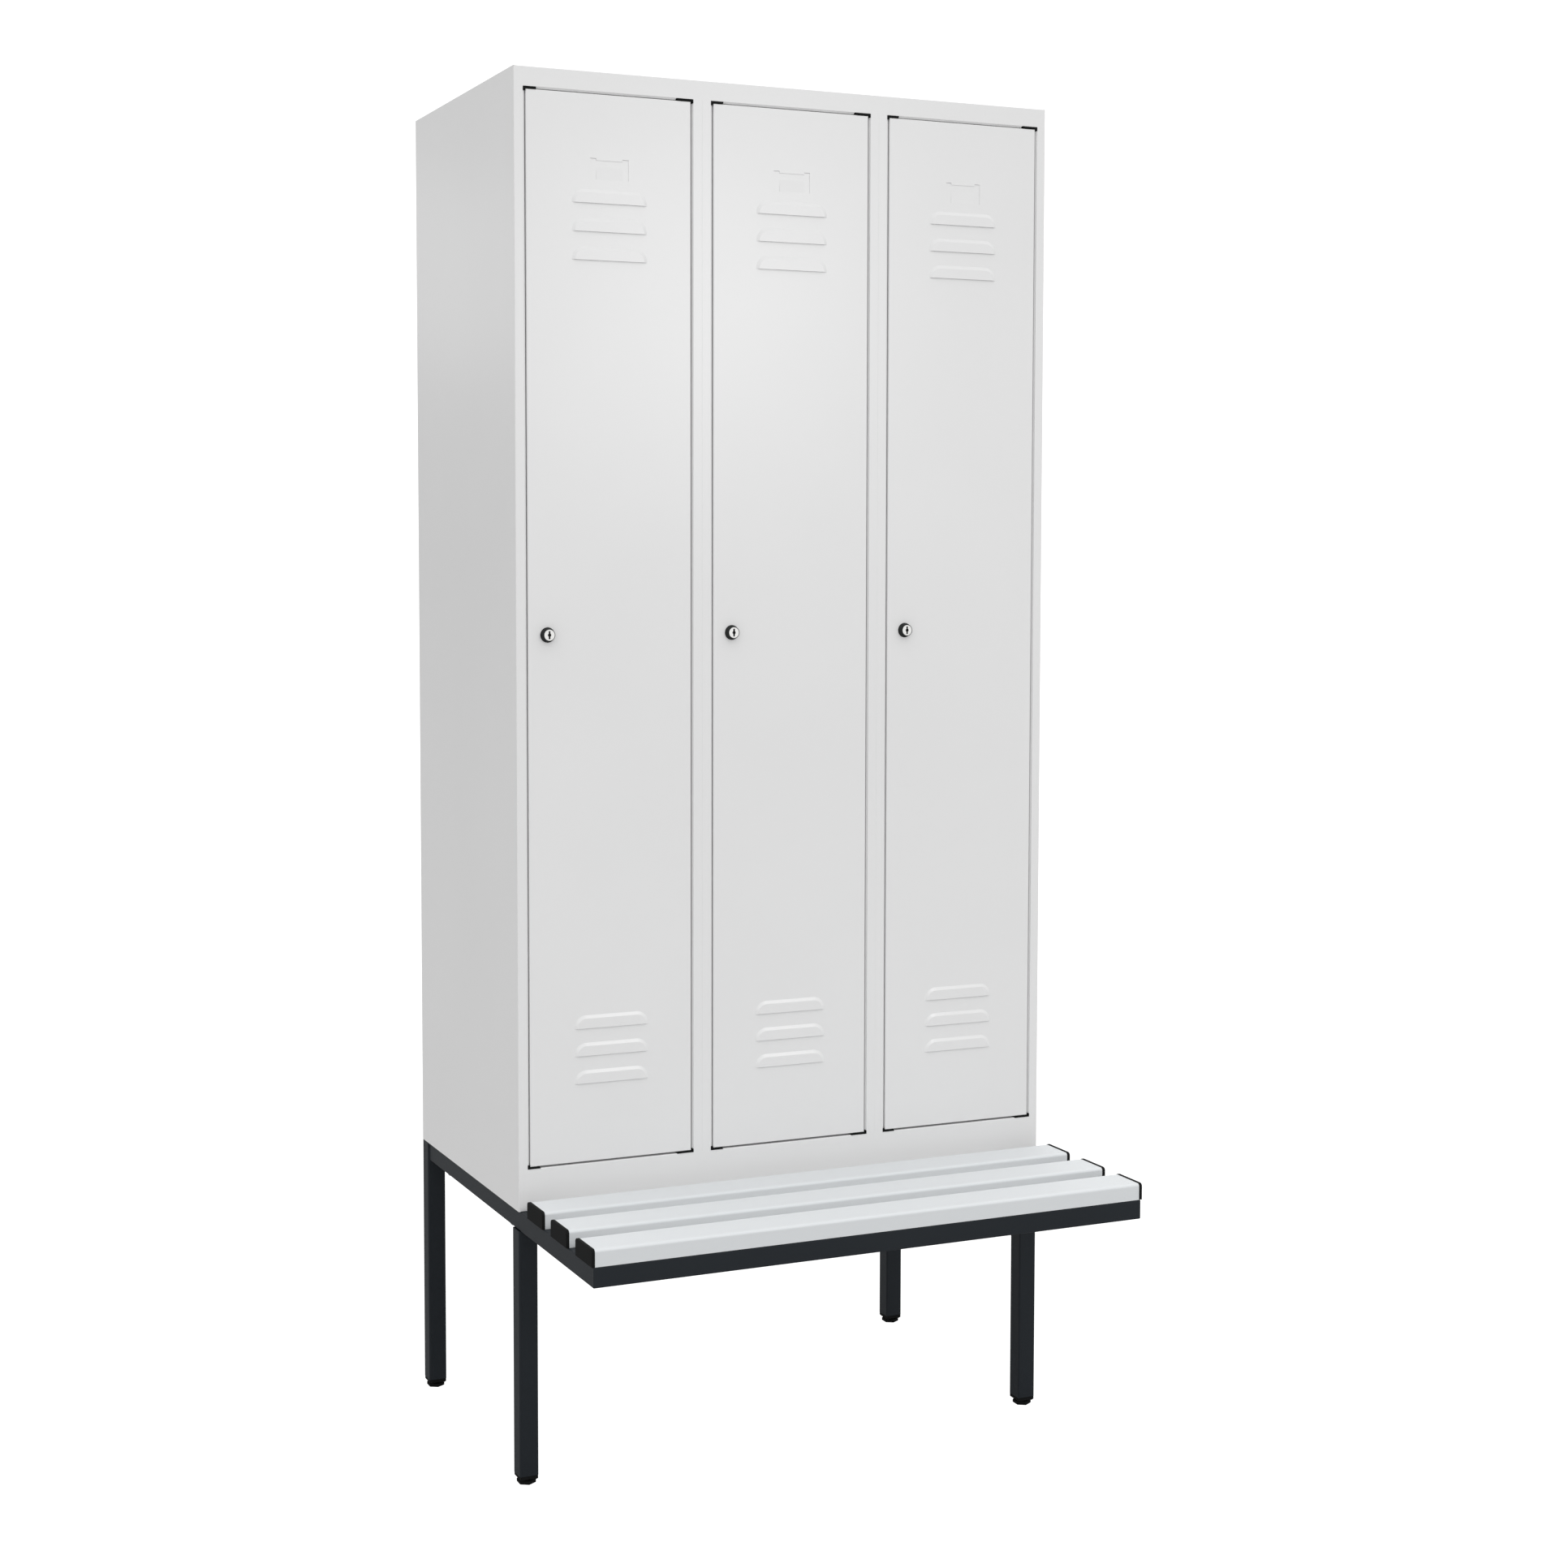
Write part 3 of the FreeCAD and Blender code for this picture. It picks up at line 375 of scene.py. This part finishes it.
for name in COMPARTMENTS:
    low, high = box_mm("door_panel_" + name)
    y = FRONT + BEAD_DEPTH
    frame_left, frame_right, frame_top = low[0] - SIDE_GAP, high[0] + SIDE_GAP, high[2] + TOP_GAP
    side_ends = (low[2] + CORNER_LEG, high[2] - CORNER_LEG)
    runs = [bead_run(*[(frame_left, y, z) for z in side_ends], X_AXIS, BEAD_LOCK_SIDE),
            bead_run(*[(frame_right, y, z) for z in side_ends], -X_AXIS, BEAD_HINGE_SIDE),
            bead_run((frame_left + BUFFER_END, y, frame_top), (frame_right - BEARING_END, y, frame_top),
                     -Z_AXIS, BEAD_TOP)]
    bead = add_piece("stop_bead_" + name, joined(runs), light_grey_coat, "carcass")
    print(bead.name, len(bead.data.polygons), "faces")

# %% [markdown]
# ## Lock collars
# A real collar is a moulded ring: its rim is rounded and its foot runs out in a fine edge. The solid has
# sharp rims, so a turned profile with small arcs takes its place. It keeps the solid's radii and depths.

# %% Turned lock collars
RIM_ROUND, MOUTH_ROUND = 0.4, 0.2
COLLAR_FRONT, COLLAR_FOOT, BARREL, BORE = 9.0, 11.5, 10.0, 8.25


def arc(centre, radius, first_degrees, last_degrees, count=6):
    """Points on a circle: centre + radius * (cos a, sin a) as the angle runs from first to last."""
    a = np.radians(np.linspace(first_degrees, last_degrees, count))
    return np.stack([centre[0] + radius * np.cos(a), centre[1] + radius * np.sin(a)], axis=-1)


for name in COMPARTMENTS:
    low, high = box_mm("lock_housing_" + name)
    tip, end = low[1] - FRONT, high[1] - FRONT
    profile = np.concatenate([
        [[BORE, end]],
        arc((BORE + MOUTH_ROUND, tip + MOUTH_ROUND), MOUTH_ROUND, 180, 270, 4),
        arc((COLLAR_FRONT - RIM_ROUND, tip + RIM_ROUND), RIM_ROUND, 270, 345),
        arc((COLLAR_FOOT - MOUTH_ROUND, -MOUTH_ROUND), MOUTH_ROUND, -15, 60, 4),
        [[COLLAR_FOOT - MOUTH_ROUND, 0.0], [BARREL, 0.0], [BARREL, end]]])
    centre = np.array([(low[0] + high[0]) / 2, FRONT, (low[2] + high[2]) / 2])
    collar = add_piece("lock_collar_" + name, turned(profile, centre), collar_polyamide, "door_" + name)
    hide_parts("lock_housing_" + name)
    print(collar.name, len(collar.data.polygons), "faces")

# %% [markdown]
# ## Slat caps
# Each slat is closed at both ends by a moulded cap, which stands a little proud of the slat so that no
# raw edge is felt, and has soft edges. Its outline is the slat's own, a little larger, carried along X.

# %% Moulded slat caps
CAP_THICKNESS, CAP_LIP, SLAT_CORNER = 5.0, 0.8, 4.5
CAP_EDGE, CAP_EDGE_STEPS = 0.7, 3


def cap_outline(front, rear, bottom, top, radius):
    """An upright rectangle of (y, z) whose two top corners are quarter circles."""
    return np.concatenate([[[front, bottom]], arc((front + radius, top - radius), radius, 180, 90),
                           arc((rear - radius, top - radius), radius, 90, 0), [[rear, bottom]]])


caps = []
for place in ("front", "middle", "rear"):
    low, high = box_mm("bench_slat_" + place)
    outline = cap_outline(low[1] - CAP_LIP, high[1] + CAP_LIP, low[2], high[2] + CAP_LIP,
                          SLAT_CORNER + CAP_LIP)
    for start, end in ((low[0] - CAP_THICKNESS, low[0]), (high[0], high[0] + CAP_THICKNESS)):
        caps.append(carried(outline, np.array([start * X_AXIS[0], end * X_AXIS[0]]), Y_AXIS, Z_AXIS))
cap_piece = add_piece("moulded_slat_caps", joined(caps), black_polyamide, "carcass")
edge = cap_piece.modifiers.new("soft_edge", "BEVEL")
edge.width, edge.segments = CAP_EDGE * MM, CAP_EDGE_STEPS
edge.angle_limit = math.radians(SHARP_ANGLE)
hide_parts("slat_end_caps")
print(cap_piece.name, len(caps), "caps")

# %% [markdown]
# ## Coat hooks
# The hooks slide on an oval rail behind each door. They are injection moulded, so every edge is soft and
# the tips end in a rounded nose. A rounded section is carried round the loop, down the stem and along
# the two curls. The section is a superellipse, which has flat sides and round corners in one formula.

# %% Moulded coat hooks
HOOK_LOOP_MARGIN, HOOK_LOOP_WALL, RAIL_HALF_WIDTH, RAIL_RISE = 0.35, 3.0, 7.5, 7.5
HOOK_STEM_HALF, HOOK_CURL_RADIUS, HOOK_BAND, HOOK_STEM_LENGTH = 3.0, 13.5, 5.0, 34.0
HOOK_OVERLAP_TOP, HOOK_OVERLAP_FOOT = 1.0, 2.0
LOOP_STEPS, CURL_STEPS, NOSE_STEPS = 48, 24, 7


def superellipse(half_width, half_height, power=4.0, count=20):
    """Points where |u / width| and |v / height|, each to a power, add up to one."""
    t = np.linspace(0, 2 * math.pi, count, endpoint=False)
    bend = 2 / power
    u = half_width * np.sign(np.cos(t)) * np.abs(np.cos(t)) ** bend
    v = half_height * np.sign(np.sin(t)) * np.abs(np.sin(t)) ** bend
    return np.stack([u, v], axis=-1)


def in_plane(x, path, inward):
    """Path points and side directions in a plane of constant x, as points and directions in space."""
    centres = np.stack([np.full(len(path), x), path[:, 0], path[:, 1]], axis=-1)
    return centres, np.stack([np.zeros(len(path)), inward[:, 0], inward[:, 1]], axis=-1)


def hook_shells(x, y, z, half_thickness):
    """Loop, stem and two curls of a hook whose rail runs along X through (y, z)."""
    middle = RAIL_HALF_WIDTH + HOOK_LOOP_MARGIN + HOOK_LOOP_WALL / 2
    a = np.linspace(0, 2 * math.pi, LOOP_STEPS, endpoint=False)
    spoke = np.stack([np.cos(a), np.sin(a)], axis=-1)
    lift = RAIL_RISE * np.sign(np.round(np.sin(a), 6))
    path = middle * spoke + np.stack([0 * a, lift], axis=-1) + [y, z]
    centres, up = in_plane(x, path, spoke)
    loop = superellipse(half_thickness, HOOK_LOOP_WALL / 2)
    shells = [carried(loop, centres, X_AXIS, up, closed=True)]

    loop_bottom = z - RAIL_RISE - RAIL_HALF_WIDTH - HOOK_LOOP_MARGIN
    turn_z = loop_bottom - HOOK_STEM_LENGTH
    stem = np.array([[x, y, loop_bottom - HOOK_OVERLAP_TOP], [x, y, turn_z - HOOK_OVERLAP_FOOT]])
    shells.append(carried(superellipse(half_thickness, HOOK_STEM_HALF), stem, X_AXIS, Y_AXIS))
    nose = np.sin(np.linspace(0, math.pi / 2, NOSE_STEPS + 1))[1:]
    swell = np.concatenate([nose, np.ones(CURL_STEPS)])
    for side in (-1, 1):
        a = np.radians(np.linspace(0, 180, len(swell)))
        spoke = np.stack([side * np.cos(a), -np.sin(a)], axis=-1)
        reach = HOOK_STEM_HALF + HOOK_CURL_RADIUS - HOOK_BAND / 2
        path = HOOK_CURL_RADIUS * spoke + [y + side * reach, turn_z]
        centres, up = in_plane(x, path, spoke)
        shells.append(carried(superellipse(half_thickness, HOOK_BAND / 2), centres,
                              X_AXIS * swell[:, None], up * swell[:, None]))
    return shells


for name in COMPARTMENTS:
    rail_low, rail_high = box_mm("coat_rail_" + name)
    rail_y, rail_z = (rail_low[1:] + rail_high[1:]) / 2
    for place in COMPARTMENTS:
        node = "coat_hook_" + name + "_" + place
        low, high = box_mm(node)
        shells = hook_shells((low[0] + high[0]) / 2, rail_y, rail_z, (high[0] - low[0]) / 2)
        hook = add_piece("moulded_hook_" + name + "_" + place, joined(shells), black_polyamide,
                         "hook_" + name + "_" + place)
        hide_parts(node)
    print("hooks in the", name, "compartment, faces each:", len(hook.data.polygons))

# %% [markdown]
# ## Spot welds
# The rear wall is spot welded to the flanges of the sides and the top. Each weld leaves a shallow round
# mark about six millimetres across, with a raised ring. One small turned profile is repeated in rows.

# %% Spot weld marks on the back
WELD_PITCH, WELD_INSET, CORNER_INSET, WELD_SEGMENTS = 85.0, 10.0, 30.0, 12
WELD_PROFILE = np.array([[0.05, 0.02], [1.9, 0.02], [2.4, 0.16], [2.9, 0.16], [3.3, -0.1], [0.05, -0.1]])
panel_high, side_low = box_mm("top_panel")[1], box_mm("left_side_panel")[0]
back = panel_high[1]


def weld_row(first, last):
    """Even places from a first to a last point, at about the weld pitch."""
    first, last = np.array(first), np.array(last)
    count = int(round(np.linalg.norm(last - first) / WELD_PITCH)) + 1
    return first + (last - first) * np.linspace(0, 1, count)[:, None]


left, right = side_low[0] + WELD_INSET, -side_low[0] - WELD_INSET
bottom, top = side_low[2] + CORNER_INSET, panel_high[2] - WELD_INSET
places = np.concatenate([weld_row((left, back, bottom), (left, back, top - CORNER_INSET)),
                         weld_row((right, back, bottom), (right, back, top - CORNER_INSET)),
                         weld_row((left, back, top), (right, back, top))])
marks = joined([turned(WELD_PROFILE, place, WELD_SEGMENTS) for place in places])
welds = add_piece("spot_welds", marks, light_grey_coat, "carcass")
print(len(places), "spot welds,", len(welds.data.polygons), "faces")

# %% [markdown]
# ## The room
# A plain pale floor in a white room whose ceiling is brighter than its walls, so that tops are lighter
# than fronts. A large soft lamp stands in front on the left and one behind on the right. Two small lamps,
# in front on the right and behind on the left, are seen as a soft glow in the satin coat of the doors and
# of the side. The floor sends light back up, but the camera looks through it to the white of the room, so
# that feet which are screwed out stay in sight.

# %% Floor
FLOOR_SIDE, FLOOR_STEPS = 40.0, 9


def pale_floor(side, step_count):
    """A flat square grid of points, x and y running from minus to plus half a side."""
    run = np.linspace(-side / 2, side / 2, step_count)
    x, y = np.meshgrid(run, run, indexing="ij")
    points = np.stack([x, y, np.zeros_like(x)], axis=-1).reshape(-1, 3)
    first = (np.arange(step_count - 1)[:, None] * step_count + np.arange(step_count - 1)[None, :]).ravel()
    faces = np.stack([first, first + step_count, first + step_count + 1, first + 1], axis=-1)
    mesh = bpy.data.meshes.new("studio_floor")
    mesh.from_pydata(points, [], faces)
    floor = bpy.data.objects.new("studio_floor", mesh)
    bpy.context.scene.collection.objects.link(floor)
    return floor


floor = pale_floor(FLOOR_SIDE, FLOOR_STEPS)
floor_paint, tree, shader, _ = blank_material("matt_pale_floor", Base_Color=to_linear("#B6B6B6"),
                                              Roughness=0.9, Specular_IOR_Level=0.0)
eye = add_node(tree, "ShaderNodeLightPath")
clear = add_node(tree, "ShaderNodeBsdfTransparent")
paint = add_node(tree, "ShaderNodeMixShader", links={
    0: eye.outputs["Is Camera Ray"], 1: shader.outputs["BSDF"], 2: clear.outputs["BSDF"]})
tree.links.new(paint.outputs["Shader"], tree.nodes["Material Output"].inputs["Surface"])
dress(floor, floor_paint)
print("floor:", FLOOR_SIDE, "m across")

# %% White room
HORIZON_LIGHT, CEILING_LIGHT, SEEN_WHITE = 0.46, 1.55, 1.2
world = bpy.data.worlds.new("white_room")
world.use_nodes = True
bpy.context.scene.world = world
room = world.node_tree
room.nodes.clear()
around = add_node(room, "ShaderNodeTexCoord")
direction = add_node(room, "ShaderNodeSeparateXYZ", links={0: around.outputs["Generated"]})
height = add_node(room, "ShaderNodeMapRange", {3: HORIZON_LIGHT, 4: CEILING_LIGHT},
                  {0: direction.outputs["Z"]})
glow = add_node(room, "ShaderNodeBackground", {"Color": (1, 1, 1, 1)}, {"Strength": height.outputs[0]})
seen = add_node(room, "ShaderNodeBackground", {"Color": (1, 1, 1, 1), "Strength": SEEN_WHITE})
eye = add_node(room, "ShaderNodeLightPath")
both = add_node(room, "ShaderNodeMixShader", links={
    0: eye.outputs["Is Camera Ray"], 1: glow.outputs[0], 2: seen.outputs[0]})
add_node(room, "ShaderNodeOutputWorld", links={"Surface": both.outputs[0]})
print("room light:", HORIZON_LIGHT, "at the horizon and", CEILING_LIGHT, "overhead")

# %% Lamps
LAMPS = {"front_lamp": ((-1.0, -3.8, 2.2), (0.0, 0.0, 1.2), 1.8, 12.5),
         "front_glint": ((1.36, -3.6, 2.2), (0.0, 0.0, 1.7), 0.7, 17.0),
         "side_glint": ((-1.6, 3.8, 2.3), (-0.45, 0.15, 1.8), 0.6, 1.0),
         "rear_lamp": ((1.6, 4.2, 2.2), (0.0, 0.4, 1.2), 1.8, 14.0)}


def soft_lamp(name, place, target, side, watts):
    """A square soft lamp at a place, facing a target: its side in metres and its power in watts."""
    data = bpy.data.lights.new(name, "AREA")
    data.shape, data.size, data.energy = "SQUARE", side, watts
    lamp = bpy.data.objects.new(name, data)
    lamp.location = place
    lamp.visible_camera = False
    aim = np.array(target) - np.array(place)
    flat = math.hypot(aim[0], aim[1])
    lamp.rotation_euler = (math.atan2(flat, -aim[2]), 0, math.atan2(-aim[0], aim[1]))
    bpy.context.scene.collection.objects.link(lamp)
    return lamp


for name, lamp_values in LAMPS.items():
    soft_lamp(name, *lamp_values)
bpy.context.scene.view_settings.view_transform = "Standard"
print("lamps:", ", ".join(LAMPS))
